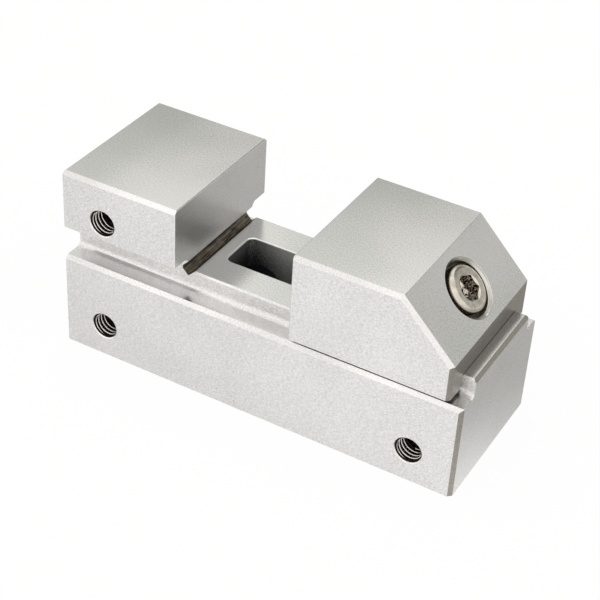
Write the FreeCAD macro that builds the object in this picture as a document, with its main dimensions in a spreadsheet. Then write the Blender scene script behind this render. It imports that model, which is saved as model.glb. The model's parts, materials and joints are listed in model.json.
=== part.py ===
import FreeCAD, Part
import math
import os
import types

import Sketcher

# A small precision vise, ground from hardened steel, with its movable jaw fully open.
#
# The fixed jaw and the base are one block. The movable jaw straddles the rail and is held by one
# socket cap screw that leans at 45 degrees, square to the slope at the jaw's back. The screw runs
# down through the slot in the rail into a cross nut. To set the jaw, the screw is slackened until
# the nut drops clear, the jaw is pushed along, and the nut is pulled up into the nearest of three
# notches, which draws the jaw both towards the work and down onto the rail.
#
# +X runs along the rail away from the fixed jaw, +Y to the back and +Z up. The origin is the middle
# of the underside. All lengths are millimetres, and angles are degrees.

SIZES = {
    # block
    "body_length": 91.4,
    "body_width": 35.0,
    "base_height": 22.0,
    "rail_height": 4.0,
    "groove_height": 7.0,
    "groove_depth": 5.1,
    "groove_fillet": 1.3,
    "jaw_height": 13.5,
    "fixed_jaw_length": 27.0,
    "jaw_opening": 26.5,
    # relief groove at the foot of the fixed jaw's face
    "relief_rise": 2.0,
    "relief_reach": 1.45,
    "relief_depth": 1.0,
    "relief_floor_fillet": 0.3,
    "relief_back_fillet": 0.9,
    # slot in the rail, and the channel and notches under it
    "slot_width": 10.0,
    "slot_fillet": 1.5,
    "slot_wall": 2.81,
    "slot_edge_round": 0.3,
    "slot_clearance": 0.5,
    "channel_fillet": 3.0,
    "channel_clearance": 1.5,
    "notch_count": 3,
    "notch_clearance": 0.1,
    # tapped side holes
    "tap_bore": 5.0,
    "tap_mouth": 6.2,
    "tap_depth": 12.0,
    "tap_inset": 9.5,
    "rail_end_tap_inset": 10.1,
    "tap_rise": 7.5,
    "jaw_tap_rise": 4.25,
    # movable jaw
    "slope_leg": 11.7,
    "skirt_gap": 0.9,
    "skirt_chamfer": 1.0,
    "rail_clearance": 0.05,
    "screw_down_slope": 8.4,
    "bore_mouth_chamfer": 0.65,
    "bore_clearance": 0.15,
    "seat_clearance": 0.05,
    "swing_slot_width": 7.0,
    "swing_slot_length": 9.5,
    # clamp screw
    "screw_diameter": 6.0,
    "screw_length": 35.0,
    "screw_chamfer": 0.6,
    "head_diameter": 10.0,
    "head_height": 6.0,
    "head_stand": 0.3,
    "head_round": 0.6,
    "hex_across": 5.0,
    "hex_depth": 3.0,
    "hex_turn": 3.0,
    # spherical washer
    "washer_diameter": 11.4,
    "washer_bore": 6.4,
    "washer_rim": 1.0,
    "dome_radius": 9.0,
    # cross nut
    "nut_diameter": 10.0,
    "nut_length": 16.0,
    "nut_chamfer": 0.5,
    "nut_thread_clearance": 0.05,
    "nut_side_clearance": 0.5,
    "nut_headroom": 0.6,
    "screw_past_nut": 4.3,
    "nut_travel": 5.4,
    # edges
    "edge_chamfer": 0.8,
    "rail_end_chamfer": 0.7,
    "rail_chamfer": 0.35,
    "left_end_chamfer": 0.3,
    "edge_break": 0.2,
}

# The screw leans by this angle. What lies along it has this share of its length in X and in Z.
LEAN = 45.0
SHARE = math.sqrt(0.5)
# How far a cut's outline stands out of the solid that it cuts.
PAST = 1.0
# Two places nearer than this are the same place.
SAME = 1e-4

LEANED = FreeCAD.Rotation(FreeCAD.Vector(0, 1, 0), LEAN)
TURNED_UP = FreeCAD.Rotation(FreeCAD.Vector(0, 0, 1), LEAN)
TURNED_DOWN = FreeCAD.Rotation(FreeCAD.Vector(0, 0, 1), -LEAN)


class Size:
    """A size held as a number and as the expression on the sheet that gives it."""

    def __init__(self, number, text):
        self.number = number
        self.text = text

    def __add__(self, other):
        other = as_size(other)
        return Size(self.number + other.number, f"({self.text} + {other.text})")

    def __sub__(self, other):
        other = as_size(other)
        return Size(self.number - other.number, f"({self.text} - {other.text})")

    def __neg__(self):
        return self * -1

    def __mul__(self, other):
        other = as_size(other)
        return Size(self.number * other.number, f"({self.text} * {other.text})")

    def __truediv__(self, other):
        other = as_size(other)
        return Size(self.number / other.number, f"({self.text} / {other.text})")

    def leg(self, other):
        """The second leg of a right triangle with this long side and one leg known."""
        number = math.sqrt(self.number ** 2 - other.number ** 2)
        return Size(number, f"sqrt({self.text} ^ 2 - {other.text} ^ 2)")


def as_size(value):
    """A plain number becomes a size of its own."""
    return value if isinstance(value, Size) else Size(float(value), str(value))


def make_sheet(doc):
    """Write the driving sizes to a sheet, and return each one by name."""
    sheet = doc.addObject("Spreadsheet::Sheet", "Sizes")
    for row, (alias, number) in enumerate(SIZES.items(), start=1):
        sheet.set(f"A{row}", alias)
        sheet.set(f"B{row}", str(number))
        sheet.setAlias(f"B{row}", alias)
    doc.recompute()
    names = types.SimpleNamespace()
    for alias in SIZES:
        setattr(names, alias, Size(float(sheet.get(alias)), f"Sizes.{alias}"))
    return names


def add_places(s):
    """Add the places that follow from the driving sizes."""
    s.half_width = s.body_width / 2
    s.rail_half = s.half_width - s.groove_depth
    s.rail_top = s.base_height + s.rail_height
    s.jaw_underside = s.base_height + s.groove_height
    s.jaw_top = s.jaw_underside + s.jaw_height

    # The screw's head stands a little proud of the slope. The slack nut hangs under the channel's
    # ceiling, with the screw's tip a little way past it.
    s.bore_drop = s.screw_down_slope * SHARE
    s.stand = s.head_stand * SHARE
    s.head_z = s.jaw_top - s.bore_drop + s.stand
    s.screw_tip_distance = s.head_height + s.screw_length
    s.slack_reach = (s.screw_tip_distance - s.screw_past_nut) * SHARE
    s.nut_radius = s.nut_diameter / 2
    s.slack_z = s.head_z - s.slack_reach
    s.channel_height = s.slack_z + s.nut_radius + s.nut_headroom
    s.channel_half = s.nut_length / 2 + s.nut_side_clearance

    # The slot starts a wall's thickness from the relief groove. The screw of the closed jaw just
    # clears that end, which settles how far the head is from the clamping face and so how long
    # the movable jaw is. A level cut through the leaning screw is longer than its diameter.
    s.screw_radius = s.screw_diameter / 2
    s.screw_reach = s.screw_radius / SHARE + s.slot_clearance
    s.slot_start = s.fixed_jaw_length + s.relief_reach + s.slot_wall
    s.closed_head_x = s.slot_start + s.screw_reach + (s.head_z - s.channel_height)
    s.head_from_face = s.closed_head_x - s.fixed_jaw_length
    s.bore_from_face = s.head_from_face - s.stand
    s.movable_jaw_length = s.bore_from_face - s.bore_drop + s.slope_leg

    # The jaw is drawn fully open. The tight nut stands in the notch above the slack one.
    s.open_face = s.fixed_jaw_length + s.jaw_opening
    s.head_x = s.open_face + s.head_from_face
    s.slack_x = s.head_x - s.slack_reach
    s.tight_x = s.slack_x + s.nut_travel * SHARE
    s.notch_step = s.jaw_opening / (s.notch_count - 1)

    # Slot and channel let the screw pass from the closed jaw's place to the open one.
    s.slot_end = s.head_x - (s.head_z - s.rail_top) + s.screw_reach
    s.tip_reach = (s.screw_tip_distance + s.screw_radius) * SHARE
    s.channel_start = s.closed_head_x - s.tip_reach - s.channel_clearance
    s.channel_end = s.tight_x + s.nut_radius + s.channel_clearance

    # The washer's dome and its seat share one centre on the screw's axis. Heights along that axis
    # count from the head's top.
    s.washer_radius = s.washer_diameter / 2
    s.rim_height = -(s.head_height + s.washer_rim)
    s.dome_centre = s.rim_height + s.dome_radius.leg(s.washer_radius)


def new_body(doc, name, x, z, rotation=FreeCAD.Rotation()):
    """A sub-part, with its own origin at a place in the vise's middle plane."""
    body = doc.addObject("PartDesign::Body", name)
    body.Label = name
    body.Placement = FreeCAD.Placement(FreeCAD.Vector(x.number, 0, z.number), rotation)
    body.setExpression("Placement.Base.x", x.text)
    body.setExpression("Placement.Base.z", z.text)
    return body


def origin_item(body, role):
    """One of the body's own origin planes or axes."""
    return next(item for item in body.Origin.OriginFeatures if item.Role == role)


def new_sketch(body, name, role, x=0, y=0, out=0, rotation=FreeCAD.Rotation()):
    """A sketch on one of the body's own planes, shifted along it and out of it, and turned."""
    sketch = body.newObject("Sketcher::SketchObject", name)
    sketch.AttachmentSupport = [(origin_item(body, role), "")]
    sketch.MapMode = "FlatFace"
    shift = [as_size(value) for value in (x, y, out)]
    base = FreeCAD.Vector(*[size.number for size in shift])
    sketch.AttachmentOffset = FreeCAD.Placement(base, rotation)
    for axis, size in zip("xyz", shift):
        sketch.setExpression(f"AttachmentOffset.Base.{axis}", size.text)
    return sketch


def point(x, y):
    return FreeCAD.Vector(as_size(x).number, as_size(y).number, 0)


def join(sketch, first, first_end, second, second_end):
    sketch.addConstraint(Sketcher.Constraint("Coincident", first, first_end, second, second_end))


def bind(sketch, size, kind, *places):
    """Add one measured constraint to the sketch and tie it to the sheet."""
    size = as_size(size)
    index = sketch.addConstraint(Sketcher.Constraint(kind, *places, size.number))
    sketch.renameConstraint(index, f"size_{index}")
    sketch.setExpression(f"Constraints.size_{index}", size.text)


def hold_point(sketch, curve, end, x, y):
    """Fix one point of a curve by its distances from the sketch's origin."""
    bind(sketch, x, "DistanceX", -1, 1, curve, end)
    bind(sketch, y, "DistanceY", -1, 1, curve, end)


def open_chain(sketch, corners):
    """Straight lines through the corners in turn. Returns the first line and the last."""
    lines = []
    for start, end in zip(corners, corners[1:]):
        line = sketch.addGeometry(Part.LineSegment(point(*start), point(*end)), False)
        hold_point(sketch, line, 1, *start)
        if lines:
            join(sketch, lines[-1], 2, line, 1)
        lines.append(line)
    hold_point(sketch, lines[-1], 2, *corners[-1])
    return lines[0], lines[-1]


def polygon(sketch, corners):
    """A closed outline of straight lines."""
    first, last = open_chain(sketch, corners)
    closing = sketch.addGeometry(Part.LineSegment(point(*corners[-1]), point(*corners[0])), False)
    join(sketch, last, 2, closing, 1)
    join(sketch, closing, 2, first, 1)


def rectangle(sketch, left, right, low, high):
    polygon(sketch, [(left, low), (right, low), (right, high), (left, high)])


def domed_outline(sketch, corners, centre, radius):
    """Straight lines closed by an arc that bulges down, about a point on the sketch's Y axis."""
    first, last = open_chain(sketch, corners)
    round_about = Part.Circle(point(0, centre), FreeCAD.Vector(0, 0, 1), radius.number)
    angles = []
    for corner in (corners[0], corners[-1]):
        spoke = point(*corner) - point(0, centre)
        angles.append(math.atan2(spoke.y, spoke.x))
    arc = sketch.addGeometry(Part.ArcOfCircle(round_about, *angles), False)
    join(sketch, arc, 1, first, 1)
    join(sketch, arc, 2, last, 2)
    bind(sketch, radius, "Radius", arc)


def circle(sketch, x, y, radius):
    outline = Part.Circle(point(x, y), FreeCAD.Vector(0, 0, 1), radius.number)
    index = sketch.addGeometry(outline, False)
    hold_point(sketch, index, 3, x, y)
    bind(sketch, radius, "Radius", index)


def long_hole(sketch, start, end, radius):
    """An outline with two round ends, whose centres lie on the sketch's X axis."""
    axis = FreeCAD.Vector(0, 0, 1)
    quarter = math.pi / 2
    start_circle = Part.Circle(point(start, 0), axis, radius.number)
    end_circle = Part.Circle(point(end, 0), axis, radius.number)
    start_arc = sketch.addGeometry(Part.ArcOfCircle(start_circle, quarter, 3 * quarter), False)
    end_arc = sketch.addGeometry(Part.ArcOfCircle(end_circle, -quarter, quarter), False)
    low_line = Part.LineSegment(point(start, -radius), point(end, -radius))
    high_line = Part.LineSegment(point(start, radius), point(end, radius))
    low = sketch.addGeometry(low_line, False)
    high = sketch.addGeometry(high_line, False)
    sketch.addConstraint(Sketcher.Constraint("Tangent", start_arc, 2, low, 1))
    sketch.addConstraint(Sketcher.Constraint("Tangent", start_arc, 1, high, 1))
    sketch.addConstraint(Sketcher.Constraint("Tangent", end_arc, 1, low, 2))
    sketch.addConstraint(Sketcher.Constraint("Tangent", end_arc, 2, high, 2))
    hold_point(sketch, start_arc, 3, start, 0)
    hold_point(sketch, end_arc, 3, end, 0)
    bind(sketch, radius, "Radius", start_arc)


def finish(body, feature, removes):
    """Work the feature out, and stop if the volume hasn't changed the way that it should."""
    base = feature.Originals[0] if hasattr(feature, "Originals") else feature.BaseFeature
    before = 0.0 if base is None else base.Shape.Volume
    body.Tip = feature
    body.Document.recompute()
    change = feature.Shape.Volume - before
    if (change >= 0) == removes:
        raise RuntimeError(f"{body.Label}: {feature.Label} changed the volume by {change:.3f}")


def pad(body, sketch, name, length):
    """Thicken the outline, half to each side of its plane."""
    feature = body.newObject("PartDesign::Pad", name)
    feature.Profile = sketch
    feature.SideType = "Symmetric"
    feature.setExpression("Length", length.text)
    finish(body, feature, removes=False)


def pocket(body, sketch, name, depth=None, upwards=False, centred=False):
    """Cut the outline right through the body, or to a depth, centred on its plane or not."""
    feature = body.newObject("PartDesign::Pocket", name)
    feature.Profile = sketch
    if depth is None:
        feature.Type = "ThroughAll"
    else:
        feature.setExpression("Length", depth.text)
        feature.Reversed = upwards
    if depth is None or centred:
        feature.SideType = "Symmetric"
    finish(body, feature, removes=True)
    return feature


def turn(body, sketch, name, cut=False):
    """Turn the outline once round the sketch's Y axis, as a solid or as a cut."""
    kind = "PartDesign::Groove" if cut else "PartDesign::Revolution"
    feature = body.newObject(kind, name)
    feature.Profile = sketch
    feature.ReferenceAxis = (sketch, ["V_Axis"])
    feature.Angle = 360.0
    finish(body, feature, removes=cut)


def edges_at(body, x=None, y=None, z=None):
    """Names of the edges that lie at the given places, on both sides of the middle plane."""
    names = []
    wanted = [None if place is None else as_size(place).number for place in (x, y, z)]
    for number, edge in enumerate(body.Tip.Shape.Edges, start=1):
        ends = [vertex.Point for vertex in edge.Vertexes]
        side = 1 if ends[0].y > 0 else -1
        places = [[end.x, side * end.y, end.z] for end in ends]
        if all(
            want is None or abs(place - want) < SAME
            for end in places
            for place, want in zip(end, wanted)
        ):
            names.append(f"Edge{number}")
    return names


def fillet(body, name, radius, edges):
    """Round the edges. Hollow corners gain material by it, and standing ones lose some."""
    base = body.Tip
    feature = body.newObject("PartDesign::Fillet", name)
    feature.Base = (base, edges)
    feature.setExpression("Radius", radius.text)
    body.Document.recompute()


def chamfer(body, name, size, edges):
    base = body.Tip
    feature = body.newObject("PartDesign::Chamfer", name)
    feature.Base = (base, edges)
    feature.setExpression("Size", size.text)
    finish(body, feature, removes=True)


def pattern_along(body, feature, name, step, count):
    """Repeat a cut along the rail, from its first place towards the fixed jaw."""
    pattern = body.newObject("PartDesign::LinearPattern", name)
    pattern.Originals = [feature]
    pattern.Direction = (origin_item(body, "X_Axis"), [""])
    pattern.Reversed = True
    pattern.Mode = "Spacing"
    pattern.setExpression("Offset", step.text)
    pattern.setExpression("Occurrences", count.text)
    finish(body, pattern, removes=True)


def tap_holes(body, name, s, places):
    """Blind holes drilled for a thread in the front face and mirrored to the back one."""
    sketch = new_sketch(body, f"{name}_places", "XZ_Plane", out=s.half_width)
    for x, z in places:
        circle(sketch, x, z, s.tap_bore / 2)
    hole = body.newObject("PartDesign::Hole", name)
    hole.Profile = sketch
    body.Document.recompute()
    hole.ThreadType = "None"
    hole.DepthType = "Dimension"
    hole.DrillPoint = "Angled"
    hole.HoleCutType = "Countersink"
    hole.HoleCutCustomValues = True
    hole.HoleCutCountersinkAngle = 90.0
    hole.setExpression("Diameter", s.tap_bore.text)
    hole.setExpression("Depth", s.tap_depth.text)
    hole.setExpression("HoleCutDiameter", s.tap_mouth.text)
    finish(body, hole, removes=True)
    mirrored = body.newObject("PartDesign::Mirrored", f"{name}_both_sides")
    mirrored.Originals = [hole]
    mirrored.MirrorPlane = (origin_item(body, "XZ_Plane"), [""])
    finish(body, mirrored, removes=True)


def build_vise_body(doc, s):
    """The block: base, rail, fixed jaw, and the channel that the nut travels in."""
    body = new_body(doc, "vise_body", -(s.body_length / 2), as_size(0))

    # Side view: base and rail below, fixed jaw above.
    outline = new_sketch(body, "block_outline", "XZ_Plane")
    polygon(outline, [
        (0, 0),
        (s.body_length, 0),
        (s.body_length, s.rail_top),
        (s.fixed_jaw_length, s.rail_top),
        (s.fixed_jaw_length, s.jaw_top),
        (0, s.jaw_top),
    ])
    pad(body, outline, "block", s.body_width)

    # A groove ground along each side leaves the rail and lets clamps hold the vise down.
    grooves = new_sketch(body, "side_groove_section", "YZ_Plane")
    outside = s.half_width + PAST
    rectangle(grooves, s.rail_half, outside, s.base_height, s.jaw_underside)
    rectangle(grooves, -outside, -s.rail_half, s.base_height, s.jaw_underside)
    pocket(body, grooves, "side_grooves")
    corners = edges_at(body, y=s.rail_half, z=s.base_height)
    corners += edges_at(body, y=s.rail_half, z=s.jaw_underside)
    fillet(body, "side_groove_corners", s.groove_fillet, corners)

    # A milled groove at 45 degrees clears the corner between the clamping face and the rail.
    corner_x = s.fixed_jaw_length
    relief = new_sketch(
        body, "relief_section", "XZ_Plane", corner_x, s.rail_top, rotation=TURNED_UP
    )
    low = -(s.relief_reach * SHARE)
    high = s.relief_rise * SHARE
    rectangle(relief, -s.relief_depth, s.relief_rise, low, high)
    pocket(body, relief, "relief_groove")
    for name, side, radius in (
        ("relief_floor_corner", low, s.relief_floor_fillet),
        ("relief_back_corner", high, s.relief_back_fillet),
    ):
        floor_x = corner_x - (s.relief_depth + side) * SHARE
        floor_z = s.rail_top - (s.relief_depth - side) * SHARE
        fillet(body, name, radius, edges_at(body, x=floor_x, z=floor_z))

    # Chamfers all round the block come before the cuts in its middle.
    edges = edges_at(body, y=s.half_width, z=s.base_height)
    edges += edges_at(body, y=s.half_width, z=s.jaw_top)
    edges += edges_at(body, x=s.body_length, y=s.half_width)
    chamfer(body, "long_edges", s.edge_chamfer, edges)
    edges = edges_at(body, x=s.body_length, z=s.rail_top)
    chamfer(body, "rail_end_edge", s.rail_end_chamfer, edges)
    chamfer(body, "rail_edges", s.rail_chamfer, edges_at(body, y=s.rail_half, z=s.rail_top))
    chamfer(body, "left_end_edge", s.left_end_chamfer, edges_at(body, x=0, z=s.jaw_top))
    edges = edges_at(body, z=0)
    edges += edges_at(body, x=s.body_length, z=s.base_height)
    chamfer(body, "base_edges", s.edge_break, edges)
    edges = edges_at(body, x=s.fixed_jaw_length, y=s.half_width)
    edges += edges_at(body, x=s.fixed_jaw_length, z=s.jaw_top)
    edges += edges_at(body, y=s.half_width, z=s.jaw_underside)
    chamfer(body, "clamping_face_edges", s.edge_break, edges)

    # The slot that the screw leans through.
    slot = new_sketch(body, "slot_outline", "XY_Plane")
    slot_half = s.slot_width / 2
    rectangle(slot, s.slot_start, s.slot_end, -slot_half, slot_half)
    pocket(body, slot, "slot")
    corners = edges_at(body, x=s.slot_start, y=slot_half)
    corners += edges_at(body, x=s.slot_end, y=slot_half)
    fillet(body, "slot_corners", s.slot_fillet, corners)
    fillet(body, "slot_edges", s.slot_edge_round, edges_at(body, y=slot_half, z=s.rail_top))

    # The channel for the nut, open at the underside.
    channel = new_sketch(body, "channel_outline", "XY_Plane")
    rectangle(channel, s.channel_start, s.channel_end, -s.channel_half, s.channel_half)
    pocket(body, channel, "channel", depth=s.channel_height, upwards=True)
    corners = edges_at(body, x=s.channel_start, y=s.channel_half)
    corners += edges_at(body, x=s.channel_end, y=s.channel_half)
    fillet(body, "channel_corners", s.channel_fillet, corners)

    # Slanted notches in the channel's ceiling. The nut is pulled up into the one above it.
    notch = new_sketch(
        body, "notch_outline", "XZ_Plane", s.slack_x, s.slack_z, rotation=TURNED_UP
    )
    long_hole(notch, 0, s.nut_travel, s.nut_radius + s.notch_clearance)
    open_notch = pocket(body, notch, "open_notch", depth=s.channel_half * 2, centred=True)
    pattern_along(body, open_notch, "notches", s.notch_step, s.notch_count)

    # Tapped holes in the sides of the base and of the fixed jaw.
    tap_holes(body, "side_taps", s, [
        (s.tap_inset, s.tap_rise),
        (s.body_length - s.rail_end_tap_inset, s.tap_rise),
        (s.tap_inset, s.jaw_underside + s.jaw_tap_rise),
    ])
    return body


def build_movable_jaw(doc, s):
    """The block that slides on the rail, measured from its clamping face and the rail's top."""
    body = new_body(doc, "movable_jaw", s.open_face - s.body_length / 2, s.rail_top)
    top = s.jaw_top - s.rail_top
    skirt_bottom = s.skirt_gap - s.rail_height
    seat_half = s.rail_half + s.rail_clearance

    # Side view with the slope at the back.
    outline = new_sketch(body, "jaw_outline", "XZ_Plane")
    polygon(outline, [
        (0, skirt_bottom),
        (s.movable_jaw_length, skirt_bottom),
        (s.movable_jaw_length, top - s.slope_leg),
        (s.movable_jaw_length - s.slope_leg, top),
        (0, top),
    ])
    pad(body, outline, "jaw_block", s.body_width)

    # The seat leaves a skirt on each side of the rail.
    seat = new_sketch(body, "rail_seat_section", "YZ_Plane")
    rectangle(seat, -seat_half, seat_half, skirt_bottom - PAST, 0)
    pocket(body, seat, "rail_seat")

    # Outer edges are chamfered along the top, down the slope and down the back.
    sharp = edges_at(body, x=0) + edges_at(body, z=skirt_bottom)
    edges = [name for name in edges_at(body, y=s.half_width) if name not in sharp]
    chamfer(body, "long_edges", s.edge_chamfer, edges)
    chamfer(body, "skirt_edges", s.skirt_chamfer, edges_at(body, y=seat_half, z=skirt_bottom))
    edges = edges_at(body, x=0, y=s.half_width) + edges_at(body, x=0, z=top)
    chamfer(body, "clamping_face_edges", s.edge_break, edges)

    # The bore is square to the slope. Its floor is hollowed for the domed washer. The sketch has
    # the point where the screw's axis meets the slope for an origin, and that axis for a Y axis.
    bore_up = top - s.bore_drop
    seat_centre = s.dome_centre + s.head_stand
    bore_radius = s.washer_radius + s.bore_clearance
    mouth_radius = bore_radius + s.bore_mouth_chamfer
    seat_radius = s.dome_radius + s.seat_clearance
    bore = new_sketch(
        body, "bore_section", "XZ_Plane", s.bore_from_face, bore_up, rotation=TURNED_DOWN
    )
    domed_outline(
        bore,
        [
            (0, seat_centre - seat_radius),
            (0, PAST),
            (mouth_radius, PAST),
            (mouth_radius, 0),
            (bore_radius, -s.bore_mouth_chamfer),
            (bore_radius, seat_centre - seat_radius.leg(bore_radius)),
        ],
        seat_centre,
        seat_radius,
    )
    turn(body, bore, "screw_bore", cut=True)

    # Below the washer the hole is longer than it is wide, so that the screw can swing.
    swing = new_sketch(
        body, "swing_slot_outline", "XY_Plane", s.bore_from_face, 0, bore_up, rotation=LEANED
    )
    half_run = (s.swing_slot_length - s.swing_slot_width) / 2
    long_hole(swing, -half_run, half_run, s.swing_slot_width / 2)
    pocket(body, swing, "swing_slot")
    return body


def build_clamp_screw(doc, s):
    """Socket cap screw, measured along its own axis from the middle of its head's top."""
    body = new_body(doc, "clamp_screw", s.head_x - s.body_length / 2, s.head_z, LEANED)
    head_radius = s.head_diameter / 2
    tip = -s.screw_tip_distance
    outline = new_sketch(body, "screw_section", "XZ_Plane")
    polygon(outline, [
        (0, 0),
        (head_radius, 0),
        (head_radius, -s.head_height),
        (s.screw_radius, -s.head_height),
        (s.screw_radius, tip + s.screw_chamfer),
        (s.screw_radius - s.screw_chamfer, tip),
        (0, tip),
    ])
    turn(body, outline, "screw")
    fillet(body, "head_edge", s.head_round, edges_at(body, z=0))

    # Hexagon socket for the key.
    socket = new_sketch(body, "socket_outline", "XY_Plane")
    socket.setExpression("AttachmentOffset.Rotation.Angle", s.hex_turn.text)
    half = s.hex_across / 2
    corner = s.hex_across / math.sqrt(3)
    polygon(socket, [
        (corner, 0),
        (corner / 2, half),
        (-corner / 2, half),
        (-corner, 0),
        (-corner / 2, -half),
        (corner / 2, -half),
    ])
    pocket(body, socket, "socket", depth=s.hex_depth)
    return body


def build_spherical_washer(doc, s):
    """Washer with a flat top under the screw's head and a domed underside."""
    body = new_body(doc, "spherical_washer", s.head_x - s.body_length / 2, s.head_z, LEANED)
    bore_radius = s.washer_bore / 2
    section = new_sketch(body, "washer_section", "XZ_Plane")
    domed_outline(
        section,
        [
            (bore_radius, s.dome_centre - s.dome_radius.leg(bore_radius)),
            (bore_radius, -s.head_height),
            (s.washer_radius, -s.head_height),
            (s.washer_radius, s.rim_height),
        ],
        s.dome_centre,
        s.dome_radius,
    )
    turn(body, section, "washer")
    return body


def build_cross_nut(doc, s):
    """Round bar across the channel, measured from its middle and bored along the screw's axis."""
    body = new_body(doc, "cross_nut", s.slack_x - s.body_length / 2, s.slack_z, LEANED)
    section = new_sketch(body, "bar_section", "XZ_Plane")
    circle(section, 0, 0, s.nut_radius)
    pad(body, section, "bar", s.nut_length)
    chamfer(body, "bar_ends", s.nut_chamfer, edges_at(body, y=s.nut_length / 2))
    thread = new_sketch(body, "thread_outline", "XY_Plane")
    circle(thread, 0, 0, s.screw_radius + s.nut_thread_clearance)
    pocket(body, thread, "thread_bore")
    return body


def write_parts(bodies):
    """Check every object, then write each sub-part to its own file."""
    os.makedirs("parts", exist_ok=True)
    for item in bodies[0].Document.Objects:
        if "Invalid" in item.State or "Error" in item.State:
            raise RuntimeError(f"{item.Label} is {item.State}")
    for body in bodies:
        if body.Shape.isNull() or not body.Shape.isValid():
            raise RuntimeError(f"{body.Label} has no valid shape")
    for body in bodies:
        body.Shape.exportStep(f"parts/{body.Label}.step")
        print(f"{body.Label}: {body.Shape.Volume:.1f} mm3, {len(body.Shape.Faces)} faces")


def main():
    doc = FreeCAD.newDocument("precision_vise")
    s = make_sheet(doc)
    add_places(s)
    write_parts([
        build_vise_body(doc, s),
        build_movable_jaw(doc, s),
        build_clamp_screw(doc, s),
        build_spherical_washer(doc, s),
        build_cross_nut(doc, s),
    ])


main()
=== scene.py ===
# %% [markdown]
# # A small precision vise in ground steel
# The vise is two blocks of hardened steel and three small parts. The base, its rail and the fixed
# jaw are one block. The movable jaw straddles the rail, and one socket cap screw leans at 45 degrees
# through it into a cross nut under the rail.
# What the eye meets is almost all bare metal, so this scene is a lesson in three things: edges that
# are broken the way a grinder breaks them, metal that shows how it was cut, and soft light for it to
# reflect. The solids come from the CAD model, and every new piece is built on them.

import json
import math

import bmesh
import bpy
from mathutils import Matrix, Vector


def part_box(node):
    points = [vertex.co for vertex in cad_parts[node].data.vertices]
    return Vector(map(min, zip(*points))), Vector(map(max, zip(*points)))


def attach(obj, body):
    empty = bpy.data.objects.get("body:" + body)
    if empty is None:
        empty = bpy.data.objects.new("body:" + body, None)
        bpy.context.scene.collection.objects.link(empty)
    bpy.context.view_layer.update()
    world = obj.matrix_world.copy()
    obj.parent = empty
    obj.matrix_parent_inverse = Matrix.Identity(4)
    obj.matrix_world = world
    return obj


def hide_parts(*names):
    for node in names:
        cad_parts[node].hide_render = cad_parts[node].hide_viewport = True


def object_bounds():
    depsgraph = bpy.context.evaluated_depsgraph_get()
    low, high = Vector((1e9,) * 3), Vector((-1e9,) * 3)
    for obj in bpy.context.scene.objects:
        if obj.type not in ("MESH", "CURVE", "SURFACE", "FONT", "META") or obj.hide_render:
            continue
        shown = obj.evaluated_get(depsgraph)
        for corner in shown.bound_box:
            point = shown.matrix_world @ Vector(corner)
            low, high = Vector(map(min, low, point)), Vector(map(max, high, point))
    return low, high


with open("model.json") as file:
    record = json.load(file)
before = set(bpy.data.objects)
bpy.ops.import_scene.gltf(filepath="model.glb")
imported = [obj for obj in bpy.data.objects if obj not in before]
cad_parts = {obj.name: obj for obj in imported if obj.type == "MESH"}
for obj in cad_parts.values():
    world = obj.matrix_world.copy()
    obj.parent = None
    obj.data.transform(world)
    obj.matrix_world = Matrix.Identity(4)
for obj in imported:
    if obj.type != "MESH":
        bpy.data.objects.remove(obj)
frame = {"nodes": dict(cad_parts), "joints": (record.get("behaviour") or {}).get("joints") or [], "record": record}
cad_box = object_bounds()
print("nodes:", sorted(frame["nodes"]))
print("box in mm:", [[round(v * 1000, 2) for v in corner] for corner in cad_box])

# %% [markdown]
# ## Units, colours and nodes
# Blender works in metres and the drawing of a vise in millimetres, so one number turns one into the
# other. Colours are easiest to judge as the hex values of a picture, but a renderer adds light up in
# linear values, so one function turns the first into the second.
# A material is a small network of nodes. Each line of it is "add this node, with these settings,
# fed by those", which is all that the second function does. A socket is fed by a plain value, by an
# output of another node, or by a whole node, which then stands for its first output.

# %% Millimetres, colours and nodes
MM = 0.001


def linear(hex_colour):
    """Turn an sRGB hex colour into the linear colour that Blender's sockets take."""
    parts = [int(hex_colour[i:i + 2], 16) / 255 for i in (1, 3, 5)]
    return [p / 12.92 if p <= 0.04045 else ((p + 0.055) / 1.055) ** 2.4 for p in parts] + [1.0]


def add(tree, kind, settings=None, fed_by=None):
    """Add a node, with its settings by name and what feeds its sockets."""
    node = tree.nodes.new("ShaderNode" + kind)
    for name, value in (settings or {}).items():
        setattr(node, name, value)
    for socket, source in (fed_by or {}).items():
        if isinstance(source, bpy.types.Node):
            source = source.outputs[0]
        if isinstance(source, bpy.types.NodeSocket):
            tree.links.new(source, node.inputs[socket])
        else:
            node.inputs[socket].default_value = source
    return node


print("mid grey #808080 is", round(linear("#808080")[0], 3), "in linear light")

# %% [markdown]
# ## Camera
# The picture was taken from in front, to the right and above, with a long lens: parallel edges of the
# vise hardly close in on each other. The place and the three angles were fitted to the corners of the
# two jaws and the base, so the model lands on the picture without any shift of the lens.

# %% Camera
CAMERA_PLACE_MM = (124.446, -234.488, 211.800)
CAMERA_TURN = math.radians(27.821)
CAMERA_ABOVE = math.radians(36.046)
CAMERA_ROLL = math.radians(3.653)
LENS_MM = 95.545

camera = bpy.data.objects.new("camera", bpy.data.cameras.new("camera"))
bpy.context.scene.collection.objects.link(camera)
camera.data.sensor_width = 36.0
camera.data.lens = LENS_MM
camera.data.clip_start = 0.01
camera.data.clip_end = 10.0
looks = Matrix.Rotation(CAMERA_TURN, 4, "Z")
looks @= Matrix.Rotation(math.pi / 2 - CAMERA_ABOVE, 4, "X")
looks @= Matrix.Rotation(CAMERA_ROLL, 4, "Z")
camera.matrix_world = Matrix.Translation(Vector(CAMERA_PLACE_MM) * MM) @ looks
bpy.context.scene.camera = camera
print("camera", round(camera.location.length * 1000), "mm from the middle of the underside")

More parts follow.
